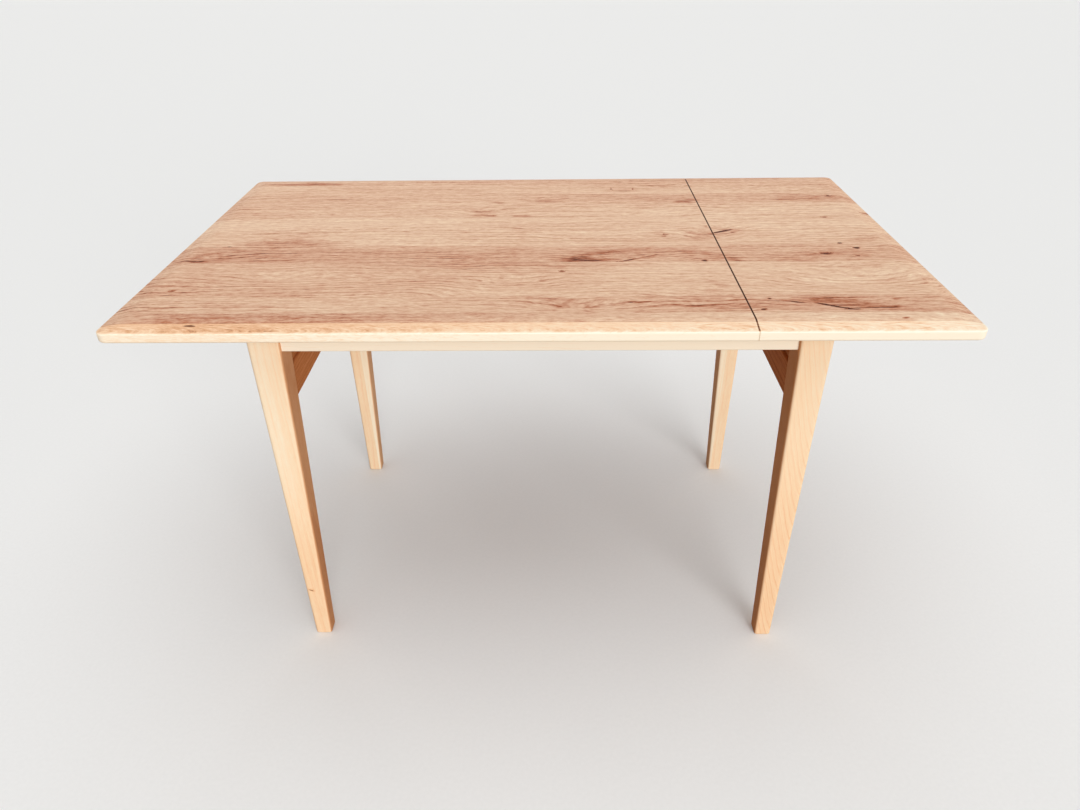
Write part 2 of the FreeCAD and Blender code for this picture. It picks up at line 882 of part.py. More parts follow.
TO_LEFT = Vector(-1, 0, 0)
leaf_face = "seam_place + seam_gap / 2"
dowels = []
leaf_cuts = []
for step in range(-1, 2):
    across = "%d * dowel_spread" % step
    inner = leaf_face + " + dowel_in_leaf", across, "dowel_height"
    shaft_length = "dowel_in_leaf + dowel_out - dowel_point"
    point_at = leaf_face + " - dowel_out + dowel_point", across, "dowel_height"
    shaft = rod("Dowel shaft", "dowel_radius", shaft_length, inner, TO_LEFT)
    tip_radius = "dowel_radius - dowel_point"
    tip = cone("Dowel tip", "dowel_radius", tip_radius, "dowel_point", point_at, TO_LEFT)
    dowels.append(joined("Dowel", [shaft, tip]))
    bore_from = leaf_face + " + dowel_in_leaf + dowel_end_room", across, "dowel_height"
    bore_length = "dowel_in_leaf + dowel_out + 2 * dowel_end_room"
    bore_radius = "dowel_radius + dowel_clearance"
    bore = rod("Dowel bore", bore_radius, bore_length, bore_from, TO_LEFT)
    top_cuts.append(bore)
    leaf_cuts.append(bore)

main_blank = panel("main_top", "main_length", "0", "-top_length / 2")
keep(cut("main_top", main_blank, top_cuts))
keep(grouped("leaf_dowels", dowels))


# The leaf with its two arms, which run on under the main top.

stations = {
    side: [
        (
            (
                "seam_place + %g * arm_grip" % share,
                on_side(side, "arm_offset"),
                "underside - arm_depth",
            ),
            UP,
        )
        for share in ARM_SCREW_SHARES
    ]
    for name, side in SIDES
}
arm_screws = []
for name, side in SIDES:
    made, holes = screws_with_holes(name + " arm screw", stations[side], "screw_length")
    arm_screws += made
    leaf_cuts += holes
    body = add("PartDesign::Body", name + "_leaf_arm blank")
    span = "arm_length", "arm_width"
    bar = pad(body, outline(body, "Plan", "XY_Plane", rectangle(span)), "arm_depth")
    nose = edge_names(bar, lambda point: near(point.x, "0"))
    bevelled(body, bar, nose, "arm_nose_bevel")
    low_y = on_side(side, "arm_offset") + " - arm_width / 2"
    place(body, ("arm_start", low_y, "underside - arm_depth"))
    relief = box(
        name + " arm relief",
        ("arm_start - overrun", low_y + " - overrun", "underside - arm_relief"),
        ("arm_reach + overrun", "arm_width + 2 * overrun", "arm_relief + overrun"),
    )
    keep(cut(name + "_leaf_arm", body, [relief, *holes]))
keep(grouped("arm_screws", arm_screws))

leaf_centre = "top_length / 2 - leaf_stiffener_inset"
channel, groove, screws, holes = stiffener("leaf_stiffener", leaf_centre)
keep(channel)
keep(grouped("leaf_stiffener_screws", screws))
leaf_cuts += [groove, *holes]
leaf_blank = panel("leaf", "leaf_length", "leaf_length", leaf_face)
keep(cut("leaf", leaf_blank, leaf_cuts))


# Rebuild everything, check it and write one file for each sub-part.

document.recompute()
faults = [
    item.Label
    for item in document.Objects
    if "Invalid" in item.State or "Error" in item.State
]
for item in nodes:
    if item.Shape.isNull() or not item.Shape.isValid() or not item.Shape.Solids:
        faults.append(item.Label + " has no valid solid")
if faults:
    sys.exit("Faulty: " + ", ".join(faults))

os.makedirs("parts", exist_ok=True)
for item in nodes:
    item.Shape.exportStep("parts/%s.step" % item.Label)
    solids = item.Shape.Solids
    print("%-28s %2d solids %12.0f mm3" % (item.Label, len(solids), item.Shape.Volume))
print(len(nodes), "sub-parts")
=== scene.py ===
# %% [markdown]
# # An extending dining table in pale hardwood
# The frame of this lesson is a table that was drawn in a CAD program, with its joints: a top
# that slides and a leaf that pulls off. Blender's share is the looks, so nearly every cell
# here is about wood, and about the light and the camera that show it.

# %% Load the table as a fixed frame
import math

import bmesh
import bpy
from mathutils import Matrix, Vector


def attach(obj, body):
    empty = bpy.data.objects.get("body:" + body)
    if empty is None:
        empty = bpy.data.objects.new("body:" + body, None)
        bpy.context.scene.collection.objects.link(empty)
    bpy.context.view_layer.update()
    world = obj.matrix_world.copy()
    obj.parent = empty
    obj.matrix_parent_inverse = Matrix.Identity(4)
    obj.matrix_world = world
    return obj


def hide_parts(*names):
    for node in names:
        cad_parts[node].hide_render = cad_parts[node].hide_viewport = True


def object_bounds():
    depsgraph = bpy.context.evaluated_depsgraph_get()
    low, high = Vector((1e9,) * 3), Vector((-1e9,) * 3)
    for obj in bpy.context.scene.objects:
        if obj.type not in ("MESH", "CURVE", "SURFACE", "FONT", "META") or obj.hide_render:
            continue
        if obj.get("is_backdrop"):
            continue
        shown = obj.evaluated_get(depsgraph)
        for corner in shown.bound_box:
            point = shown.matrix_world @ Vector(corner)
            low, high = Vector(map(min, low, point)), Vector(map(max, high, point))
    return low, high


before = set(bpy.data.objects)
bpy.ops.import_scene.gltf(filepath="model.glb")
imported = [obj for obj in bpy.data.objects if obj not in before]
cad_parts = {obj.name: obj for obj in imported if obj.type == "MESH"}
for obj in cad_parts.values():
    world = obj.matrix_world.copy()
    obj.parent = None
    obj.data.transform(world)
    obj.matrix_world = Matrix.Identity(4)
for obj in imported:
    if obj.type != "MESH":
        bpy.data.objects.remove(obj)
cad_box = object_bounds()

# %% [markdown]
# ## The camera
# The table is looked down at from in front, from a little right of its middle. Three turns
# put the camera there: down by the pitch, round by the yaw and a slight tilt of the horizon
# by the roll. Blender writes the lens as a focal length on a sensor, so the lens in pixels is
# divided by the picture's width and multiplied by the sensor's. A Track To constraint could
# aim the camera too, but it always keeps the horizon level, and here it isn't quite.

# %% Camera
PICTURE_WIDTH = 1080
SENSOR_WIDTH = 36.0
LENS_IN_PIXELS = 763.65
LENS_CENTRE = 536.99
CAMERA_PLACE = (0.0203, -1.2581, 1.1504)
CAMERA_PITCH = math.radians(32.678)
CAMERA_YAW = math.radians(-1.347)
CAMERA_ROLL = math.radians(-0.831)

camera = bpy.data.objects.new("Camera", bpy.data.cameras.new("Camera"))
camera.data.sensor_width = SENSOR_WIDTH
camera.data.lens = LENS_IN_PIXELS / PICTURE_WIDTH * SENSOR_WIDTH
camera.data.shift_x = (PICTURE_WIDTH / 2 - LENS_CENTRE) / PICTURE_WIDTH
camera.matrix_world = (
    Matrix.Translation(CAMERA_PLACE)
    @ Matrix.Rotation(-CAMERA_YAW, 4, "Z")
    @ Matrix.Rotation(math.pi / 2 - CAMERA_PITCH, 4, "X")
    @ Matrix.Rotation(CAMERA_ROLL, 4, "Z")
)
bpy.context.scene.collection.objects.link(camera)
bpy.context.scene.camera = camera
print("lens", round(camera.data.lens, 2), "mm")

# %% [markdown]
# ## The light
# A table hides its legs and aprons under its own top, so light from overhead alone leaves
# them dark. Here a first sun lamp shines from the front, low enough to reach under the edge
# of the top, and a second one stands overhead. A weaker third one reaches the rear. A wide
# angle softens their shadows, and the world adds a little light from all round. Area lamps
# could do the same, but a sun is equally strong everywhere, so it needs no distance. Together
# they light a face that looks at them about as brightly as its colour is written, so nothing
# turns plain white. How the world looks to the camera is settled at the end, with the floor.

# %% Lamps and world
SURROUND_LIGHT = 0.16
SURROUND_COLOUR = (1.0, 0.99, 0.97, 1.0)


def sun(name, strength, width, towards):
    """A sun lamp, some degrees wide, whose light travels along a direction."""
    lamp = bpy.data.lights.new(name, "SUN")
    lamp.energy = strength
    lamp.angle = math.radians(width)
    made = bpy.data.objects.new(name, lamp)
    made.rotation_euler = Vector(towards).to_track_quat("-Z", "Y").to_euler()
    bpy.context.scene.collection.objects.link(made)
    print(name, "of strength", strength, "and", width, "degrees wide")


sun("Front light", strength=2.34, width=36, towards=(-0.42, 1.0, -0.28))
sun("Overhead light", strength=1.62, width=80, towards=(-0.05, 0.15, -1.0))
sun("Rear light", strength=0.8, width=60, towards=(0.1, -1.0, -0.3))

world = bpy.data.worlds.new("Soft surround")
world.use_nodes = True
background = world.node_tree.nodes["Background"]
background.inputs["Color"].default_value = SURROUND_COLOUR
background.inputs["Strength"].default_value = SURROUND_LIGHT
bpy.context.scene.world = world
bpy.context.scene.view_settings.view_transform = "Standard"

# %% [markdown]
# ## Sums on a surface
# A finish is a chain of small nodes, and a chain of Math nodes is hard to read. The class
# below wraps the output of a node, so that `1 - mask` or `tone + lines * 0.2` adds the Math
# nodes by itself. Reflected forms, such as the one for `1 - mask`, are needed where the
# plain number comes first. Only the signs that this lesson uses are there.

# %% Values that vary
class Shade:
    """The output of a node: a number, a colour or a vector that varies over a surface."""

    def __init__(self, finish, socket):
        self.finish = finish
        self.socket = socket

    def __add__(self, other):
        return self.finish.maths("ADD", self, other)

    __radd__ = __add__

    def __sub__(self, other):
        return self.finish.maths("SUBTRACT", self, other)

    def __rsub__(self, other):
        return self.finish.maths("SUBTRACT", other, self)

    def __mul__(self, other):
        return self.finish.maths("MULTIPLY", self, other)

    __rmul__ = __mul__

    def __truediv__(self, other):
        return self.finish.maths("DIVIDE", self, other)

    def __gt__(self, other):
        return self.finish.maths("GREATER_THAN", self, other)

    def __lt__(self, other):
        return self.finish.maths("LESS_THAN", self, other)


print("signs that a Shade understands: + - * / > <")

# %% [markdown]
# ## One method for every other node
# A finish is a material while it is made. Every node comes from one method, which applies the
# node's settings before its sockets, because some sockets appear only with a setting. The
# short methods below it give the few patterns of this lesson their names. Node groups could
# hold the patterns too, but a group hides its numbers, and here each place has its own.
#
# An oval is a Gradient Texture set to Spherical, placed by its own mapping. A Mapping node
# in front of it would do the same, but Cycles keeps the outputs of all of them on a small
# stack at once, and a hundred vectors are too many for it.

# %% Finishes
class Finish:
    """A material while it is made, or the nodes of the owner that is given."""

    def __init__(self, name, owner=None):
        self.owner = owner or bpy.data.materials.new(name)
        self.owner.use_nodes = True
        self.tree = self.owner.node_tree
        if owner is None:
            self.tree.nodes.clear()

    def node(self, kind, settings=None, sockets=None, output=0):
        """Add a node: its type, its settings, then the values or links of its sockets."""
        made = self.tree.nodes.new("ShaderNode" + kind)
        for name, value in (settings or {}).items():
            if name == "stops":
                elements = made.color_ramp.elements
                for _ in range(len(value) - len(elements)):
                    elements.new(1.0)
                for element, (place, colour) in zip(elements, value):
                    element.position = place
                    element.color = colour
            else:
                setattr(made, name, value)
        for name, value in (sockets or {}).items():
            if isinstance(value, Shade):
                self.tree.links.new(value.socket, made.inputs[name])
            else:
                made.inputs[name].default_value = value
        return Shade(self, made.outputs[output]) if made.outputs else made

    def maths(self, operation, *values):
        """A Math node on shades or numbers."""
        return self.node("Math", {"operation": operation}, dict(enumerate(values)))

    def place(self):
        """Where a point of the surface is, in the object's own metres."""
        return self.node("TexCoord", output="Object")

    def parts(self, vector):
        """The x, y and z of a vector."""
        return [self.node("SeparateXYZ", None, {0: vector}, axis) for axis in "XYZ"]

    def vector(self, *parts):
        """A vector from its x, y and z."""
        return self.node("CombineXYZ", None, dict(enumerate(parts)))

    def stretched(self, vector, scale):
        """A vector whose parts are each multiplied by their own number."""
        return self.node("VectorMath", {"operation": "MULTIPLY"}, {0: vector, 1: scale})

    def cloud(self, vector, scale, detail=2.0, rough=0.5):
        """Soft noise, finer along an axis where its scale is larger, mostly from 0.3 to 0.7."""
        sockets = {
            "Vector": self.stretched(vector, scale),
            "Scale": 1.0,
            "Detail": detail,
            "Roughness": rough,
        }
        return self.node("TexNoise", None, sockets)

    def between(self, value, low, high):
        """0 below the low number and 1 above the high one, with a soft step between."""
        sockets = {"Value": value, "From Min": low, "From Max": high}
        return self.node("MapRange", {"interpolation_type": "SMOOTHSTEP"}, sockets)

    def fading(self, value, low, high):
        """1 below the low number and 0 above the high one."""
        sockets = {"Value": value, "From Min": low, "From Max": high}
        sockets.update({"To Min": 1.0, "To Max": 0.0})
        return self.node("MapRange", {"interpolation_type": "SMOOTHSTEP"}, sockets)

    def oval(self, vector, centre, size, turn):
        """1 in the middle of an oval, and evenly less towards 0 on its outline."""
        ball = {"gradient_type": "SPHERICAL"}
        made = self.node("TexGradient", ball, {"Vector": vector}, "Fac")
        own = made.socket.node.texture_mapping
        own.vector_type = "TEXTURE"
        own.translation = (*centre, 0.0)
        own.scale = (*size, 1.0)
        own.rotation = (0.0, 0.0, turn)
        return made

    def spot(self, vector, centre, size, turn, core=0.8):
        """1 in the core of an oval and 0 outside it, with a soft step between."""
        return self.between(self.oval(vector, centre, size, turn), 0.0, core)

    def hoop(self, vector, centre, size, turn, width):
        """1 on the outline of an oval and 0 away from it."""
        room = 1.5
        wider = [reach * room for reach in size]
        on_outline = 1 - 1 / room
        off = self.oval(vector, centre, wider, turn) - on_outline
        return self.fading(self.maths("ABSOLUTE", off), 0.0, width / room)

    def colours(self, value, stops):
        """A colour for each number, from stops of a place and a colour."""
        painted = [(place, paint(*colour)) for place, colour in stops]
        return self.node("ValToRGB", {"stops": painted}, {0: value})

    def mixed(self, share, first, second):
        """A share of the second colour over the first."""
        return self.node("Mix", {"data_type": "RGBA"}, {0: share, 6: first, 7: second}, 2)

    def surface(self, colour, roughness, height=None, depth=0.0, **others):
        """Finish the material: colour, roughness, a bump's height, and other sockets by name."""
        sockets = {"Base Color": colour, "Roughness": roughness}
        sockets.update({name.replace("_", " "): value for name, value in others.items()})
        if height is not None:
            bump = {"Height": height, "Distance": depth, "Strength": 1.0}
            sockets["Normal"] = self.node("Bump", None, bump)
        shader = self.node("BsdfPrincipled", None, sockets)
        self.node("OutputMaterial", None, {"Surface": shader})
        print("finish", self.owner.name, "with", len(self.tree.nodes), "nodes")
        return self.owner


print("patterns:", ", ".join(name for name in vars(Finish) if not name.startswith("_")))

# %% [markdown]
# ## Colours and CAD pieces
# A paint program spaces its numbers to suit the eye, and Blender's shaders count light, so a
# colour picked there is made linear first. Blender's own colour field does that too, but only
# for the colours that are typed into it. A CAD piece keeps its mesh, and a finish is given to
# it by filling its material slots.

# %% Paint and dress
def paint(red, green, blue):
    """A colour picked in a paint program, from 0 to 255, as Blender's linear colour."""
    parts = [part / 255 for part in (red, green, blue)]
    linear = [
        part / 12.92 if part <= 0.04045 else ((part + 0.055) / 1.055) ** 2.4 for part in parts
    ]
    return (*linear, 1.0)


def dress(material, *names):
    """Give CAD pieces a finish."""
    for name in names:
        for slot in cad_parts[name].material_slots:
            slot.material = material


print("a painter's middle grey throws back", round(paint(128, 128, 128)[0], 3), "of the light")

# %% [markdown]
# ## The grain of a board
# A board is cut lengthwise from a trunk. Its yearly rings show as lines that wander along
# it, and they close to arches where the cut grazes a ring. Evenly spaced lines that three
# noises push about make both: a long one lets them drift, a shorter one gives them waves,
# and a narrow one makes some years wider than others.
# The fibres follow the same push, because they grew in the same rings, and around a knot
# they flow as the rings do. Short dark pores come on top. The same sums work for any board
# when they are given the board's own directions: along, across and through.
#
# Blender's Wave Texture makes bands too, but its bands are all equally wide and none of them
# ends sharply, as a year's dark late wood does.

# %% Grain
RING_PITCH = 0.0105
LINE_START, LINE_PEAK, LINE_END = 0.62, 0.9, 0.97
SEED_STEP = 0.37

# How many lumps of each noise there are to a metre along a board, across it and through it.
SWAY = (0.9, 6.5, 9.0)
RIPPLE = (5.5, 15.0, 15.0)
UNEQUAL_YEARS = (1.2, 75.0, 75.0)
DRIFT = (2.2, 16.0, 16.0)
COARSE_FIBRES = (9.0, 170.0, 170.0)
FINE_FIBRES = (70.0, 360.0, 360.0)
PORES = (90.0, 1500.0, 1500.0)
RIDGES = (14.0, 620.0, 620.0)


def grain(
    finish, along, across, through, seed,
    ring_pitch=RING_PITCH, wander=5.0, wave=2.4, bend=0.0, unequal=0.4,
):
    """Late-wood lines, a soft drift of tone, fibres and pores of a board, each about 0 to 1."""
    start = along + seed * SEED_STEP
    own = finish.vector(start, across, through + seed)
    sway = finish.cloud(own, SWAY, 2.0, 0.45)
    ripple = finish.cloud(own, RIPPLE, 2.0)
    push = sway * wander + ripple * wave + bend
    years = finish.cloud(own, UNEQUAL_YEARS, 1.0) * unequal
    rings = finish.maths("FRACT", across / ring_pitch + push + years)
    rising = finish.between(rings, LINE_START, LINE_PEAK)
    lines = rising * finish.fading(rings, LINE_PEAK, LINE_END)
    flow = finish.vector(start, across + push * ring_pitch, through + seed)
    drift = finish.cloud(own, DRIFT, 3.0, 0.55)
    coarse = finish.cloud(flow, COARSE_FIBRES, 2.0, 0.7)
    fine = finish.cloud(flow, FINE_FIBRES, 2.0, 0.75)
    pores = finish.between(finish.cloud(own, PORES, 0.0), 0.66, 0.78)
    return lines, drift, coarse, fine, pores


def ridges(finish, along, across, through):
    """The height of the fibres that a sanded and oiled board keeps."""
    return finish.cloud(finish.vector(along, across, through), RIDGES, 3.0, 0.65)


print("a yearly ring every", RING_PITCH * 1000, "mm")

# %% [markdown]
# ## The colours of the wood
# Every effect in the wood adds to one number or takes from it: how deep its tone is, from 0
# for the palest sapwood to 1 for the heart of a knot. One ramp turns that number into a
# colour at the end. Colours could be mixed for each effect instead, but then they would be
# hard to keep in one family, and a knot over a dark streak would come out no darker.

# %% Wood colours
ALDER = (
    (0.0, (255, 240, 212)),
    (0.2, (241, 211, 181)),
    (0.4, (228, 190, 159)),
    (0.6, (211, 162, 133)),
    (0.8, (184, 117, 83)),
    (0.92, (142, 70, 38)),
    (1.0, (70, 28, 10)),
)
# Pale sapwood colours, which also carry painted light: a painted sheen on the front plank of the
# top, and painted light on the front apron.
SAPWOOD_AND_PAINTED_LIGHT = (
    (0.0, (255, 246, 226)),
    (0.25, (250, 229, 201)),
    (0.5, (245, 206, 169)),
    (0.75, (220, 164, 122)),
    (1.0, (108, 64, 42)),
)
print("alder has", len(ALDER), "colours and sapwood", len(SAPWOOD_AND_PAINTED_LIGHT))

# %% [markdown]
# ## The planks of the top
# The top is glued up from planks that run its whole length, and the leaf was sawn off the
# same panel, so each plank carries on across the seam. Each has its own tone, from cream
# sapwood to pinkish brown heartwood, and its own knots and streaks. A knot belongs to one
# plank and stops dead at the glue line, so the knots of a plank are added inside a mask of
# that plank alone. Both halves share one material, because their coordinates are those of
# the whole table.
#
# Three kinds of mark do it: a spot is a filled oval, a hoop is an oval's outline, as of a
# ring that closes round a knot, and a swirl only pushes the growth lines aside. Knots from a
# noise would be quicker, but they can't be put where a plank needs them, so here each mark
# is a row of numbers.

# %% Planks and their marks
# From the front to the rear: the far edge of each plank from the front, in millimetres, its
# tone at the left end and at the right, its spots, hoops and swirls. Each of these starts
# with its distance from the left end and from the front, its half length, its half width
# and its turn in degrees. A spot ends with its depth, a hoop with its width and its depth,
# and a swirl with the number of lines that it moves the grain by.
PLANKS = (
    (23, 0.68, 0.28, (
        (127, 17, 10, 1.8, 0, 0.75), (233, 6, 22, 2.0, 0, 0.2), (40, 12, 60, 16, 0, -0.12),
    ), (
        (1095, 13, 22, 6, 0, 0.25, 0.22),
        (862, 13, 24, 5, 0, 0.25, 0.16),
        (992, 13, 20, 5, 0, 0.25, 0.12),
    ), ()),
    (48.7, 0.7, 0.25, (
        (8, 36, 60, 22, 0, -0.22), (1097, 30, 6, 3, 20, 0.5), (1088, 28, 18, 8, 0, 0.1),
    ), (), ()),
    (104, 0.43, 0.54, (
        (618, 74, 16, 17, 0, 0.16),
        (862, 66, 50, 10, 0, 0.13),
        (913, 57, 5.5, 3.2, 0, 0.42),
        (928, 92, 3.4, 2.6, 0, 0.6),
        (962, 82, 24, 2.0, -17, 0.3),
        (1014, 67, 30, 2.6, -24, 0.75),
        (1034, 57, 16, 2.4, 0, 0.5),
        (1030, 82, 64, 14, -12, 0.18),
        (1066, 62, 56, 9, -6, 0.16),
        (960, 76, 70, 14, 0, 0.1),
    ), (
        (702, 64, 24, 19, 0, 0.16, 0.16),
        (655, 64, 15, 12, 0, 0.22, 0.12),
        (130, 64, 60, 8, 4, 0.14, 0.14),
    ), ((655, 68, 90, 26, 0, 1.6), (1010, 76, 90, 26, 0, 1.2))),
    (232, 0.50, 0.40, (
        (57, 127, 8, 5, 0, 0.3),
        (635, 195, 6, 5.5, 0, 0.4),
        (620, 200, 18, 11, 0, 0.08),
        (700, 223, 95, 10, 0, 0.1),
        (500, 222, 120, 14, 0, 0.1),
        (1045, 155, 48, 15, 0, -0.14),
        (862, 143, 20, 8, -50, 0.14),
    ), ((50, 131, 20, 12, 0, 0.2, 0.12),), (
        (430, 122, 80, 26, 0, -1.4),
        (500, 112, 70, 24, 0, 1.2),
        (560, 152, 70, 26, 0, 1.8),
        (1080, 154, 130, 50, 0, 2.4),
        (240, 168, 120, 30, 0, 1.2),
    )),
    (304, 0.58, 0.54, (
        (88, 259, 6, 9, 20, 0.16),
        (45, 242, 30, 6, -8, 0.15),
        (110, 262, 110, 24, 0, 0.06),
        (682, 238, 36, 9, 4, 0.19),
        (676, 250, 52, 13, 25, 0.16),
        (758, 246, 40, 3.2, 25, 0.26),
        (735, 236, 26, 3.0, 22, 0.2),
        (862, 235, 5.5, 4, 0, 0.65),
        (1060, 263, 11, 6.5, 0, 0.34),
        (1036, 260, 26, 2.6, 0, 0.2),
        (1070, 265, 80, 16, 0, 0.08),
        (1117, 286, 5.5, 4.5, 0, 1.0),
        (1108, 252, 4, 3, 0, 0.34),
    ), (
        (68, 257, 22, 13, -8, 0.25, 0.11),
        (775, 218, 96, 42, 0, 0.2, 0.17),
        (775, 218, 66, 26, 0, 0.12, 0.08),
    ), ((775, 222, 150, 60, 0, 2.0), (65, 256, 70, 24, 0, 1.4))),
    (371, 0.42, 0.38, (
        (79, 307, 5, 2.6, 0, 0.6),
        (200, 318, 62, 17, 0, 0.2),
        (165, 338, 70, 20, 12, 0.18),
        (173, 366, 85, 3, 0, 0.16),
        (815, 354, 6, 4.6, 0, 0.46),
        (802, 362, 17, 8, -40, 0.14),
        (877, 347, 24, 26, 20, 0.15),
        (914, 367, 24, 3.4, 26, 1.0),
        (925, 362, 32, 14, 15, 0.14),
        (1096, 308, 4.5, 3.5, 0, 0.8),
        (1140, 328, 26, 14, 20, 0.16),
    ), (
        (577, 300, 60, 36, 0, 0.08, -0.1),
    ), ((877, 345, 56, 32, 0, 1.6), (190, 330, 100, 30, 0, 1.2))),
    (447, 0.40, 0.37, (
        (914, 367, 24, 3.4, 26, 1.0), (925, 374, 30, 10, 10, 0.12), (1110, 437, 7, 4, 0, 0.42),
        (1112, 438, 30, 10, 0, 0.12),
    ), (), ((923, 376, 50, 22, 0, 1.5),)),
    (521, 0.50, 0.36, (
        (507, 456, 17, 6, -18, 0.3),
        (491, 472, 26, 18, -35, 0.16),
        (572, 452, 28, 5, 0, 0.24),
        (1193, 466, 14, 6, 0, 0.4),
        (110, 458, 210, 18, 0, 0.08),
    ), (), ((495, 470, 60, 26, 0, 1.4),)),
    (579, 0.46, 0.52, (
        (515, 532, 10, 9, 0, 0.22),
        (613, 535, 24, 9, 0, 0.18),
        (430, 536, 22, 8, 0, 0.1),
        (878, 533, 18, 10, 20, 0.26),
        (830, 548, 80, 16, 0, 0.1),
        (1120, 548, 80, 16, 0, 0.16),
        (1153, 560, 7, 5, 0, 0.42),
    ), (), ((613, 540, 70, 20, 0, 1.2),)),
    (647, 0.44, 0.46, (
        (760, 598, 18, 2.0, 0, 0.42), (741, 610, 11, 2.0, -70, 0.36),
        (782, 612, 12, 2.0, 82, 0.32), (761, 606, 30, 12, 0, 0.1),
    ), (), ((900, 612, 120, 22, 0, 1.5),)),
    (702, 0.50, 0.48, (
        (120, 656, 74, 10, 0, 0.26), (140, 664, 52, 10, -16, 0.14), (380, 664, 210, 3, 0, 0.14),
    ), (), ()),
)
mark_count = sum(len(marks) for plank in PLANKS for marks in plank[3:])
edges = [0, *(plank[0] for plank in PLANKS)]
widest = max(far - near for near, far in zip(edges, edges[1:]))
print(len(PLANKS), "planks with", mark_count, "marks, the widest plank", widest, "mm")

# %% [markdown]
# ## From planks to numbers
# A mask that is 1 inside one plank and 0 elsewhere picks that plank's tone, seed and marks,
# and the sum over all planks gives one number for each. A separate material for each plank
# would need the CAD's mesh cut at every glue line. Small marks stay crisp, and broad ones get
# a feathered outline, as where heartwood runs out into sapwood: the noises that feather it
# are long along the grain.

# %% Sums over the planks
HALF_WIDTH = 0.351
HALF_LENGTH = 0.6
PAST_THE_EDGE = 0.01
JOINT_REACH = 0.0003
BROAD = 7
BROAD_ROOM, SMALL_ROOM = 1.5, 1.25
RUFFLE = (30.0, 110.0, 110.0)
RUFFLE_ALONG, RUFFLE_ACROSS = 0.012, 0.005
FEATHER = (9.0, 120.0, 120.0)
FEATHER_ALONG, FEATHER_ACROSS = 0.1, 0.013


def outline(mark):
    """The centre, size and turn of a mark, in metres and radians."""
    from_left, from_front, half_length, half_width, turn = mark[:5]
    centre = (from_left / 1000 - HALF_LENGTH, from_front / 1000 - HALF_WIDTH)
    room = BROAD_ROOM if half_width > BROAD else SMALL_ROOM
    return centre, (half_length / 1000 * room, half_width / 1000 * room), math.radians(turn)


def plank_sums(finish, position, x, y):
    """The tone, seed, joints, broad marks, small marks and swirls where a point is."""
    ruffle = finish.cloud(position, RUFFLE, 2.0) - 0.5
    feather = finish.cloud(position, FEATHER, 3.0, 0.6) - 0.5
    crisp = finish.vector(x + ruffle * RUFFLE_ALONG, y + ruffle * RUFFLE_ACROSS, 0.0)
    feathered = finish.vector(x + feather * FEATHER_ALONG, y + feather * FEATHER_ACROSS, 0.0)
    flat = finish.vector(x, y, 0.0)
    from_left = (x + HALF_LENGTH) / (2 * HALF_LENGTH)
    tone = seed = joints = broad_marks = small_marks = swirls = 0.0
    near_edge = -HALF_WIDTH - PAST_THE_EDGE
    for number, (reach, left_tone, right_tone, spots, hoops, pushes) in enumerate(PLANKS):
        last = number == len(PLANKS) - 1
        far_edge = reach / 1000 - HALF_WIDTH + (PAST_THE_EDGE if last else 0.0)
        inside = (y > near_edge) * (y < far_edge)
        tone = tone + inside * (left_tone + from_left * (right_tone - left_tone))
        seed = seed + inside * (1.7 * number + 0.9)
        broad = small = push = 0.0
        for mark in spots:
            if mark[3] > BROAD:
                broad = broad + finish.spot(feathered, *outline(mark)) * mark[5]
            else:
                small = small + finish.spot(crisp, *outline(mark)) * mark[5]
        for mark in hoops:
            broad = broad + finish.hoop(feathered, *outline(mark), mark[5]) * mark[6]
        for mark in pushes:
            push = push + finish.spot(flat, *outline(mark), core=1.0) * mark[5]
        broad_marks = broad_marks + inside * broad
        small_marks = small_marks + inside * small
        if pushes:
            swirls = swirls + inside * push
        joints = joints + finish.maths("COMPARE", y, far_edge, JOINT_REACH)
        near_edge = far_edge
    return tone, seed, joints, broad_marks, small_marks, swirls


print("the first mark has its centre, size and turn at", outline(PLANKS[0][3][0]))

# %% [markdown]
# ## The finish of the top
# The upper face is flat as far as the front plank, which slopes down to a lip. This plank is
# sapwood, whose rings close to arches on the slope. Its pale colour and the still paler lip
# are partly the wood's own and partly a painted sheen of the front light. The grain is calmer
# near the front than on the rest of the top.
#
# Painted shade darkens the sharp corners at the seam, in place of the shadow of the gap
# between the top and the leaf, but only in the skin of the top. The sawn faces that show
# when the leaf is pulled off stay pale. There and at the ends the rings are cut across, and
# they lean to one side or the other from plank to plank, as each was sawn from another part
# of a trunk. A flat picture of wood could cover the top, but not these cut ends.
# The plain numbers in the sums are strengths, and they were found by comparing renders.

# %% Table top
SLOPE_START = -0.323
SLOPE_EDGE = -0.3285
SLOPE_FALL = 0.22
LIP_LEVEL = 0.6823
LIP_BLEND = 0.001
TOP_LEVEL = 0.688
SKIN_DEPTH = 0.0012
EDGE_SKIN = 0.0008
SEAM_PLACE = 0.296
SEAM_REACH = 0.0012
ARCH_MIDDLE_FROM_EDGE = 0.012
ARCH_SPACING = 0.05
ARCH_CURVE = 9000
CALM_FROM, CALM_TO = 0.02, 0.035
OILED_ROUGHNESS = 0.52
FIBRE_HEIGHT = 0.0002


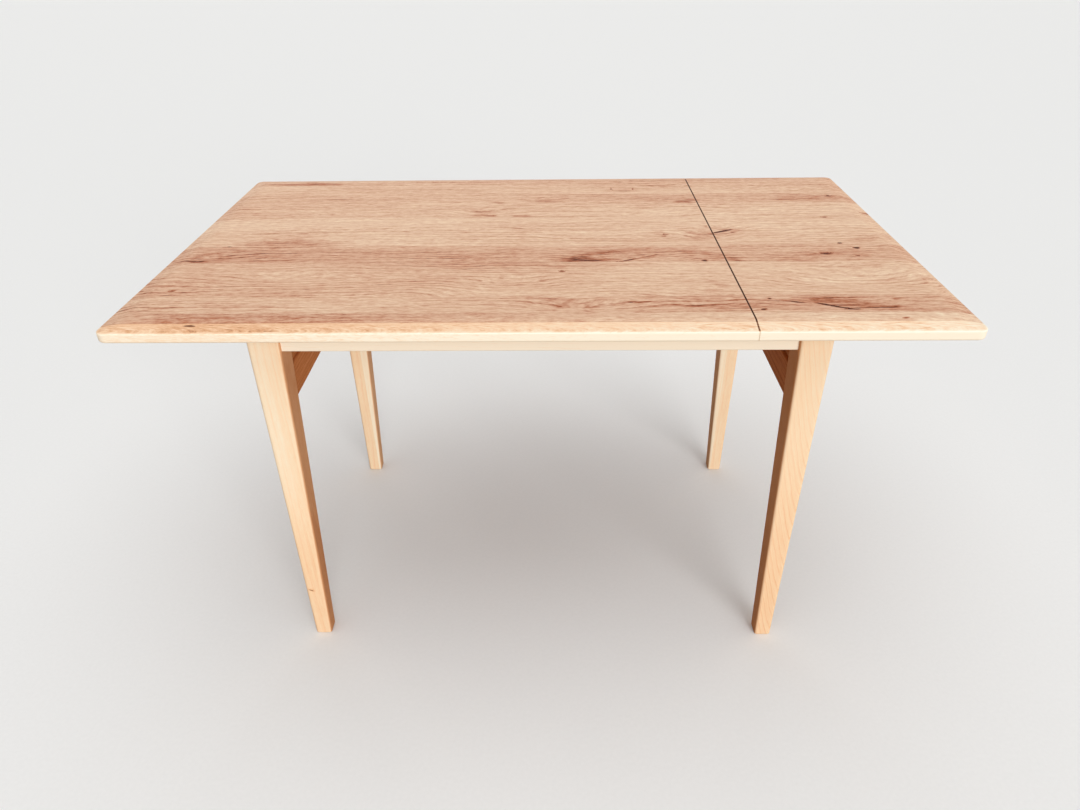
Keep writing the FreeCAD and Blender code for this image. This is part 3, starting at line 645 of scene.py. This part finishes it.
def table_top():
    finish = Finish("Alder planks")
    position = finish.place()
    x, y, z = finish.parts(position)
    front_plank = y < SLOPE_EDGE
    lip = front_plank * finish.fading(z, LIP_LEVEL - LIP_BLEND, LIP_LEVEL + LIP_BLEND)
    tone, seed, joints, broad_marks, small_marks, swirls = plank_sums(finish, position, x, y)
    from_middle = y + HALF_WIDTH - ARCH_MIDDLE_FROM_EDGE
    arches = front_plank * (x / ARCH_SPACING + from_middle * from_middle * ARCH_CURVE)
    lean = finish.maths("SINE", seed * 2.3) * 0.9
    leaning = (z - TOP_LEVEL) * lean / RING_PITCH
    bend = small_marks * 2 + swirls + arches + leaning
    calm = 1 - finish.fading(y, SLOPE_EDGE + CALM_FROM, SLOPE_EDGE + CALM_TO) * 0.55
    unequal = (calm - front_plank * 0.4) * 1.4
    grown = grain(finish, x, y, z, seed, bend=bend, unequal=unequal)
    lines, drift, coarse, fine, pores = grown
    marks = broad_marks * (0.5 + coarse) + small_marks
    # Painted shade along the seam, for the shadow of the gap between the top and the leaf: only
    # in the top's skin, and weaker on the front plank and the lip.
    below_slope = finish.maths("MINIMUM", y - SLOPE_START, 0.0) * SLOPE_FALL
    skin_level = TOP_LEVEL - SKIN_DEPTH + below_slope
    skin = finish.maths("MAXIMUM", z > skin_level, y < -HALF_WIDTH + EDGE_SKIN)
    seam_shade_strength = 1 - front_plank * 0.45 - lip * 0.35
    seam_shade = skin * seam_shade_strength * finish.maths("COMPARE", x, SEAM_PLACE, SEAM_REACH)
    growth = (lines - 0.16) * (drift - 0.26) * 0.78 * (calm - lip * 0.3)
    # The lip is painted paler: partly its pale edge grain, partly a painted sheen of the front
    # light.
    depth = tone + marks + growth + (drift - 0.5) * calm * 0.42 - lip * 0.5
    depth = depth + (coarse - 0.5) * calm * 0.5 + (fine - 0.5) * 0.82
    depth = depth + pores * 0.12 + joints * 0.16 + seam_shade
    # The front plank takes the sapwood colours, paler partly by the wood and partly by a painted
    # sheen of the front light.
    heartwood, sapwood = finish.colours(depth, ALDER), finish.colours(depth, SAPWOOD_AND_PAINTED_LIGHT)
    colour = finish.mixed(front_plank, heartwood, sapwood)
    height = ridges(finish, x, y, z)
    return finish.surface(colour, OILED_ROUGHNESS + fine * 0.2, height, FIBRE_HEIGHT, IOR=1.2)


dress(table_top(), "main_top", "leaf")

# %% [markdown]
# ## Legs
# Each leg is glued from two pieces side by side, so a straight line runs down its front
# face, between a cream half and a warmer one. The line stays upright while the inner side
# tapers. The face towards the table's middle is painted browner, as painted shade and warm
# bounced light under the top, and a mask that follows the taper finds it. The four legs could
# have four materials, but a shared one keeps them alike: the side of the table that a point is
# on picks the tones and the seed.

# %% Leg wood
LEG_WOOD = (
    (0.0, (255, 242, 216)),
    (0.25, (254, 226, 190)),
    (0.5, (248, 204, 160)),
    (0.75, (226, 168, 120)),
    (1.0, (124, 76, 46)),
)
# Browner colours for faces under the top: painted shade, on the legs' inner faces and on the
# inner side of the end rails.
SHADED_WOOD = (
    (0.0, (226, 166, 114)),
    (0.35, (206, 134, 80)),
    (0.6, (176, 100, 54)),
    (0.85, (134, 68, 34)),
    (1.0, (78, 38, 20)),
)
GLUE_LINE = 0.4064, 0.4070
LEG_FOOT_INSIDE = 0.4015
LEG_TAPER = 0.0322
INNER_FACE_BLEND = 0.0006, 0.0028
LEG_RING_PITCH = 0.014
ARCH_MIDDLE = 0.458
LEG_ARCH_SPACING = 0.032
LEG_ARCH_CURVE = 560
KNOT_TURN = math.radians(-24)
ROWS = ("front", "rear")
SIDES = ("left", "right")


def leg_wood():
    finish = Finish("Leg wood")
    x, y, z = finish.parts(finish.place())
    right = x > 0
    rear = y > 0
    front = 1 - rear
    outer = finish.between(finish.maths("ABSOLUTE", x), *GLUE_LINE)
    # Painted light: the heads of the front legs are paler, partly the wood's tone and partly to
    # make up for the top's shade on them, and the rear legs are paler all over for the shade
    # under the top.
    low = finish.fading(z, 0.1, 0.5)
    left_front = 0.2 + low * 0.22 - outer * (0.1 - low * 0.08)
    right_front = 0.24 + low * 0.2
    rear_tone = 0.06 + outer * 0.22
    tone = rear * rear_tone + front * (left_front + right * (right_front - left_front))
    seed = 2.1 + right * 3.3 + rear * 5.9 + outer * (1 - right * front) * 1.3
    from_edge = x - ARCH_MIDDLE
    curve = from_edge * from_edge * LEG_ARCH_CURVE
    arches = right * front * (z / LEG_ARCH_SPACING - curve - y * 130)
    grown = grain(finish, z, x, y, seed, LEG_RING_PITCH, wander=3.0, wave=1.2, bend=arches)
    lines, drift, coarse, fine, pores = grown
    face = finish.vector(x, z, 0.0)
    knot_heart = finish.spot(face, (-0.4215, 0.1135), (0.0075, 0.0017), KNOT_TURN)
    knot_edge = finish.spot(face, (-0.421, 0.1145), (0.012, 0.006), KNOT_TURN)
    knot = front * (knot_heart + knot_edge * 0.25)
    line_depth = 0.09 + right * front * low * 0.07
    depth = tone + (drift - 0.5) * 0.3 + (lines - 0.3) * line_depth + knot * 0.5
    depth = depth + (coarse - 0.5) * 0.26 + (fine - 0.5) * 0.22 + pores * 0.06
    # Painted shade: the faces towards the table's middle get the browner colours, as shade and
    # warm bounced light under the top make them look.
    past_inner_face = finish.maths("ABSOLUTE", x) - (LEG_FOOT_INSIDE - z * LEG_TAPER)
    shaded_inner_face = finish.fading(past_inner_face, *INNER_FACE_BLEND)
    sapwood, heartwood = finish.colours(depth, LEG_WOOD), finish.colours(depth, SHADED_WOOD)
    colour = finish.mixed(shaded_inner_face * 0.8, sapwood, heartwood)
    height = ridges(finish, z, x, y)
    return finish.surface(colour, OILED_ROUGHNESS + fine * 0.2, height, FIBRE_HEIGHT, IOR=1.15)


dress(leg_wood(), *[f"{row}_{side}_leg" for row in ROWS for side in SIDES])

# %% [markdown]
# ## Aprons and rails
# The aprons are pale, like the legs, and the front one is painted paler still: painted light
# that makes up for the shade of the top's overhang. The end rails are pale like the legs
# outside, and their side that faces in is painted brown, as painted shade under the top. A
# board of its own colour for each side would show a glue line from below, so a mask changes
# the colour inside the board, with a soft and uneven border. One function makes every board's
# finish from the letter of the axis that its grain runs along. The shaded faces mirror very
# little, because a pale sheen would take the brown out of them.

# %% Plain boards
SHADE_BORDER = 0.4035, 0.4045
BOARD_ROUGHNESS = 0.6
SHADED_SHEEN = 0.1
INNER_WOOD = (
    (0.0, (244, 222, 188)),
    (0.35, (230, 202, 162)),
    (0.6, (214, 180, 138)),
    (0.85, (182, 142, 102)),
    (1.0, (112, 78, 52)),
)


def board_wood(name, axis, stops, tone, seed, ring_pitch=0.008, outside=None):
    """A plain board whose grain runs along an axis, with other colours outside if given."""
    finish = Finish(name)
    x, y, z = finish.parts(finish.place())
    along, across, through = {"x": (x, z, y), "y": (y, z, x)}[axis]
    lines, drift, coarse, fine, pores = grain(finish, along, across, through, seed, ring_pitch)
    depth = tone + (drift - 0.5) * 0.36 + (lines - 0.3) * 0.14
    depth = depth + (coarse - 0.5) * 0.34 + (fine - 0.5) * 0.3 + pores * 0.06
    colour = finish.colours(depth, stops)
    # On the end rails the inner part keeps the browner colours, as painted shade, and the outer
    # part gets the outside colours.
    if outside:
        from_middle = finish.maths("ABSOLUTE", x) + (drift - 0.5) * 0.003
        outer_part = finish.between(from_middle, *SHADE_BORDER)
        colour = finish.mixed(outer_part, colour, finish.colours(depth, outside))
    height = ridges(finish, along, across, through)
    rough = BOARD_ROUGHNESS + fine * 0.2
    return finish.surface(colour, rough, height, FIBRE_HEIGHT, Specular_IOR_Level=SHADED_SHEEN)


# %% [markdown]
# ## A finish for each kind of board
# The boards that show get the colours of the legs or of sapwood, the front apron painted
# paler as painted light and the end rails painted brown inside as painted shade. Those that
# nobody sees are of a plainer wood. A seed of its own moves each board to another part of the
# noises, so that no two of them look sawn from the same place.

# %% Dress the boards
# The front apron takes the palest colours: painted light that makes up for the shade of the
# top's overhang on it.
dress(board_wood("Front apron wood", "x", SAPWOOD_AND_PAINTED_LIGHT, -0.06, 11.3), "front_apron")
dress(board_wood("Rear apron wood", "x", LEG_WOOD, 0.18, 17.9), "rear_apron")
# The end rails: painted shade brown inside, pale like the legs outside.
dress(
    board_wood("End rail wood", "y", SHADED_WOOD, 0.42, 5.2, outside=LEG_WOOD),
    *[f"{side}_{level}_rail" for side in SIDES for level in ("lower", "upper")],
)
dress(
    board_wood("Cross rail wood", "y", INNER_WOOD, 0.3, 3.4),
    *[f"{side}_cross_rail" for side in SIDES],
)
dress(
    board_wood("Runner wood", "x", INNER_WOOD, 0.4, 8.8),
    *[f"{row}_{piece}" for row in ROWS for piece in ("runner", "leaf_arm")],
)
dress(
    board_wood("Block wood", "y", INNER_WOOD, 0.45, 6.1),
    *[f"{row}_{side}_corner_block" for row in ROWS for side in SIDES],
)
dress(board_wood("Dowel wood", "x", INNER_WOOD, 0.2, 2.2, ring_pitch=0.002), "leaf_dowels")

# %% [markdown]
# ## Metal, plastic and felt
# Zinc-plated steel is a grey metal, brighter and duller in small patches. The glide strips
# are a smooth plastic with a faint mottle, and felt is rough fibre pressed flat. One flat
# colour would do for pieces this small until the camera comes near, so each gets a noise at
# the size of its own patches or fibres, for the colour, the roughness and the height at once.

# %% Small finishes
def plated_steel():
    finish = Finish("Plated steel")
    position = finish.place()
    patch = finish.cloud(position, (140.0, 140.0, 140.0), 3.0, 0.6)
    scratch = finish.cloud(position, (40.0, 900.0, 900.0), 2.0)
    colour = finish.colours(patch, ((0.3, (176, 178, 180)), (0.7, (210, 211, 212))))
    rough = 0.26 + patch * 0.18 + scratch * 0.08
    return finish.surface(colour, rough, scratch, 0.00005, Metallic=1.0)


def glide_plastic():
    finish = Finish("Glide plastic")
    mottle = finish.cloud(finish.place(), (300.0, 300.0, 300.0), 2.0)
    colour = finish.colours(mottle, ((0.3, (226, 224, 216)), (0.7, (238, 237, 231))))
    return finish.surface(colour, 0.35 + mottle * 0.15, mottle, 0.00008)


def felt():
    finish = Finish("Felt")
    position = finish.place()
    fibre = finish.cloud(position, (1500.0, 1100.0, 1300.0), 4.0, 0.7)
    clump = finish.cloud(position, (260.0, 260.0, 260.0), 2.0)
    tone = fibre * 0.6 + clump * 0.4
    colour = finish.colours(tone, ((0.3, (92, 80, 68)), (0.7, (134, 120, 104))))
    return finish.surface(colour, 0.95, fibre, 0.0004, Sheen_Weight=0.3)


steel = plated_steel()
dress(steel, "leg_bolts", "leg_washers", "leg_nuts")
dress(steel, "left_stiffener", "right_stiffener", "leaf_stiffener")
dress(glide_plastic(), "left_glide_strip", "right_glide_strips")
dress(felt(), "left_stop_pads", "right_stop_pads")

# %% [markdown]
# ## Screws
# The CAD drew each screw as a plain head on a plain shank. A real head has a cross pressed
# into it. A cross could be cut with a Boolean modifier, but that leaves long thin faces. One
# grid of five by five faces is enough for it: the plus in the middle is pushed down, and the
# outline is bent to a circle and drawn out to the rim, the shank and the tip.

# %% Sizes of a screw
GRID_REACH = {0.2: 0.00062, 0.6: 0.0021}
GRID_EDGE = 0.9
RECESS_DEPTH = 0.0016
RECESS_TAPER = 0.6
TIP_LENGTH = 0.004
TIP_RADIUS = 0.0003
SHARP_FOLD = math.radians(35)

# Radius and depth below the head's top, in metres, for the rings from the first to the shank.
COUNTERSUNK_HEAD = ((0.0040, 0.0), (0.0040, 0.0003), (0.0020, 0.0030))
PAN_HEAD = (
    (0.0030, 0.0), (0.0037, 0.0004), (0.0040, 0.0011), (0.0040, 0.0022), (0.0020, 0.0022),
)
print("a head is", COUNTERSUNK_HEAD[0][0] * 2000, "mm wide")
print("its cross is", RECESS_DEPTH * 1000, "mm deep")

# %% [markdown]
# ## The cross
# The grid runs from -1 to 1, so its points lie at 0.2, 0.6 and 1 on each side. Its middle
# face and the four that touch it make the plus, which is extruded, made smaller and pushed
# down. Inset with a depth could sink it in one step, but it takes as much off the sides of
# the narrow arms as off their ends. Extrude keeps the faces that it started from when it is
# given only faces, so they are deleted, or they would lie over the recess like a lid.

# %% The head's top
def of_kind(parts, kind):
    """The points, or the edges, among what an operator made."""
    return [part for part in parts if isinstance(part, kind)]


def on_circle(x, y, radius):
    """Where a point of the square grid's outline goes on a circle, at even turns."""
    if abs(x) >= abs(y):
        turn = math.radians(45 * y / x) + (math.pi if x < 0 else 0)
    else:
        turn = math.radians(90 - 45 * x / y) + (math.pi if y < 0 else 0)
    return radius * math.cos(turn), radius * math.sin(turn)


def in_plus(face):
    """Whether a face of the grid is the middle one or one of the four that touch it."""
    at = face.calc_center_median()
    return min(abs(at.x), abs(at.y)) < 0.1 and at.length < 0.5


def crossed_disc(radius):
    """A flat disc with a cross recess pressed into its middle."""
    disc = bmesh.new()
    bmesh.ops.create_grid(disc, x_segments=5, y_segments=5, size=1.0)
    cross = [face for face in disc.faces if in_plus(face)]
    for point in disc.verts:
        x, y = point.co.xy
        if max(abs(x), abs(y)) > GRID_EDGE:
            point.co.xy = on_circle(x, y, radius)
        else:
            reach = [GRID_REACH[round(abs(part), 1)] for part in (x, y)]
            point.co.xy = math.copysign(reach[0], x), math.copysign(reach[1], y)
    sunk = bmesh.ops.extrude_face_region(disc, geom=cross)["geom"]
    bmesh.ops.delete(disc, geom=cross, context="FACES")
    recess_floor = of_kind(sunk, bmesh.types.BMVert)
    bmesh.ops.scale(disc, vec=(RECESS_TAPER, RECESS_TAPER, 1.0), verts=recess_floor)
    bmesh.ops.translate(disc, vec=(0, 0, -RECESS_DEPTH), verts=recess_floor)
    return disc


trial = crossed_disc(COUNTERSUNK_HEAD[0][0])
print("the disc has", len(trial.faces), "faces")
trial.free()

# %% [markdown]
# ## One screw
# The disc's outer edge is extruded ring by ring, and each new ring is scaled to its radius
# and moved down to its depth. Spin would turn a profile just as well, but then the rings
# wouldn't share their points with the outline of the grid. Only the last ring is open at the
# end, and it is filled.

# %% From disc to screw
def one_screw(head, length):
    """A screw that points down, with the middle of its head's top at the origin."""
    radius, depth = head[0]
    screw = crossed_disc(radius)
    outer_edge = [edge for edge in screw.edges if edge.is_boundary]
    shank_end = (head[-1][0], length - TIP_LENGTH)
    for next_radius, next_depth in (*head[1:], shank_end, (TIP_RADIUS, length)):
        drawn = bmesh.ops.extrude_edge_only(screw, edges=outer_edge)["geom"]
        outer_edge = [edge for edge in of_kind(drawn, bmesh.types.BMEdge) if edge.is_boundary]
        ring = of_kind(drawn, bmesh.types.BMVert)
        share = next_radius / radius
        bmesh.ops.scale(screw, vec=(share, share, 1.0), verts=ring)
        bmesh.ops.translate(screw, vec=(0, 0, depth - next_depth), verts=ring)
        radius, depth = next_radius, next_depth
    bmesh.ops.holes_fill(screw, edges=outer_edge, sides=0)
    bmesh.ops.recalc_face_normals(screw, faces=screw.faces)
    for face in screw.faces:
        face.smooth = True
    for edge in screw.edges:
        edge.smooth = edge.calc_face_angle(0.0) < SHARP_FOLD
    return screw


trial = one_screw(COUNTERSUNK_HEAD, 0.03)
open_edges = sum(edge.is_boundary for edge in trial.edges)
print("a screw has", len(trial.faces), "faces and", open_edges, "open edges")
trial.free()

# %% [markdown]
# ## The places of the screws
# Screws are put where the CAD has them, and nothing is measured by hand. Each is a separate
# lump of its piece's mesh. It is longest along its axis, and its head is at the end where it
# is widest. The CAD's mesh is loose triangles, so a copy of it is merged first: then a walk
# from point to point along the edges finds all of one lump and nothing else.

# %% Find the screws of the CAD
def lumps(name):
    """The corners of each separate lump of a CAD piece."""
    merged = bmesh.new()
    merged.from_mesh(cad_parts[name].data)
    bmesh.ops.remove_doubles(merged, verts=merged.verts, dist=1e-6)
    reached = set()
    found = []
    for start in merged.verts:
        if start in reached:
            continue
        reached.add(start)
        lump = [start]
        for point in lump:
            for edge in point.link_edges:
                other = edge.other_vert(point)
                if other not in reached:
                    reached.add(other)
                    lump.append(other)
        found.append([point.co.copy() for point in lump])
    merged.free()
    return found


def length_and_place(corners):
    """How long a screw is, and the transform that moves one from the origin to its place."""
    low, high = (Vector(pick(part) for part in zip(*corners)) for pick in (min, max))
    reach = high - low
    axis = max(range(3), key=lambda number: reach[number])
    middle = (low + high) / 2

    def from_axis(corner):
        return sum((corner[n] - middle[n]) ** 2 for n in range(3) if n != axis)

    at_high_end = max(corners, key=from_axis)[axis] > middle[axis]
    top = middle.copy()
    top[axis] = high[axis] if at_high_end else low[axis]
    inward = Vector([(-1 if at_high_end else 1) if n == axis else 0 for n in range(3)])
    turn = inward.to_track_quat("-Z", "Y").to_matrix().to_4x4()
    return reach[axis], Matrix.Translation(top) @ turn


lengths = [length_and_place(corners)[0] for corners in lumps("runner_screws")]
print(len(lengths), "runner screws, the longest", round(max(lengths) * 1000, 1), "mm")

# %% [markdown]
# ## The screws in place
# All screws of a CAD piece become one mesh in its place. It rides on the same body, so it
# moves with it, and it takes the same steel as the bolts.

# %% Screws with a cross recess
def piece_from(mesh, name, material):
    """A new object at the origin from a finished bmesh."""
    data = bpy.data.meshes.new(name)
    mesh.to_mesh(data)
    mesh.free()
    data.materials.append(material)
    made = bpy.data.objects.new(name, data)
    bpy.context.scene.collection.objects.link(made)
    return made


def screws(name, body, head):
    """Screws with a cross recess where the CAD piece has its plain ones."""
    group = bmesh.new()
    found = lumps(name)
    for corners in found:
        length, place = length_and_place(corners)
        screw = one_screw(head, length)
        bmesh.ops.transform(screw, matrix=place, verts=screw.verts)
        loose = bpy.data.meshes.new("One screw")
        screw.to_mesh(loose)
        screw.free()
        group.from_mesh(loose)
        bpy.data.meshes.remove(loose)
    made = piece_from(group, name + "_with_recess", steel)
    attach(made, body)
    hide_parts(name)
    print(name, len(found), "screws", len(made.data.polygons), "faces")


screws("block_screws", "frame", COUNTERSUNK_HEAD)
screws("runner_screws", "top", COUNTERSUNK_HEAD)
screws("arm_screws", "leaf", COUNTERSUNK_HEAD)
screws("stiffener_screws", "top", PAN_HEAD)
screws("leaf_stiffener_screws", "leaf", PAN_HEAD)

# %% [markdown]
# ## The floor and the background
# A pale floor, far larger than the table, keeps the shadow and shows nothing else. It is
# marked as stage, so that it isn't counted as part of the table. What the camera sees of the
# floor and of the world is pale, and so is what metal mirrors, but the light that they throw
# back on the table is that of a plain wooden floor. Stronger lamps could make the background
# pale too, but they would bleach the table. The Light Path node tells the two apart: it is 1
# for rays that come from the camera or from a mirroring or clear surface. From below the
# floor is clear, so that the underside of the table can be looked at.

# %% Floor and background
FLOOR_REACH = 30.0
FLOOR_ROUGHNESS = 0.8
FLOOR_SPECKS = (160.0, 160.0, 160.0)
FLOOR_COLOURS = ((0.2, (240, 240, 239)), (0.8, (243, 243, 242)))
FLOOR_BOUNCE = paint(162, 132, 102)
PALE_BACKGROUND = 0.83


def seen(finish):
    """1 where the camera looks, straight or by a reflection, and 0 for light that bounces."""
    kinds = ("Camera", "Glossy", "Transmission")
    rays = [finish.node("LightPath", output=f"Is {kind} Ray") for kind in kinds]
    return rays[0] + rays[1] + rays[2] > 0.5


def floor_paint():
    finish = Finish("Pale floor")
    specks = finish.cloud(finish.place(), FLOOR_SPECKS, 1.0)
    pale = finish.colours(specks, FLOOR_COLOURS)
    colour = finish.mixed(seen(finish), FLOOR_BOUNCE, pale)
    from_above = 1 - finish.node("NewGeometry", output="Backfacing")
    return finish.surface(colour, FLOOR_ROUGHNESS, IOR=1.05, Alpha=from_above)


ground = bmesh.new()
bmesh.ops.create_grid(ground, x_segments=1, y_segments=1, size=FLOOR_REACH)
floor = piece_from(ground, "Floor", floor_paint())
floor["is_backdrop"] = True

surround = Finish("Soft surround", world)
strength = SURROUND_LIGHT + seen(surround) * (PALE_BACKGROUND - SURROUND_LIGHT)
surround.tree.links.new(strength.socket, background.inputs["Strength"])
print("background strength", PALE_BACKGROUND, "seen and", SURROUND_LIGHT, "as light")

# %% [markdown]
# ## The last lines
# The table's box from the CAD and the box of what is shown are written side by side, so
# that a size which has slipped is seen at once.

# %% Sizes and finish
shown_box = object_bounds()
for name, (low, high) in (("cad", cad_box), ("shown", shown_box)):
    print(name, "box", [round(side, 3) for side in high - low], "m")
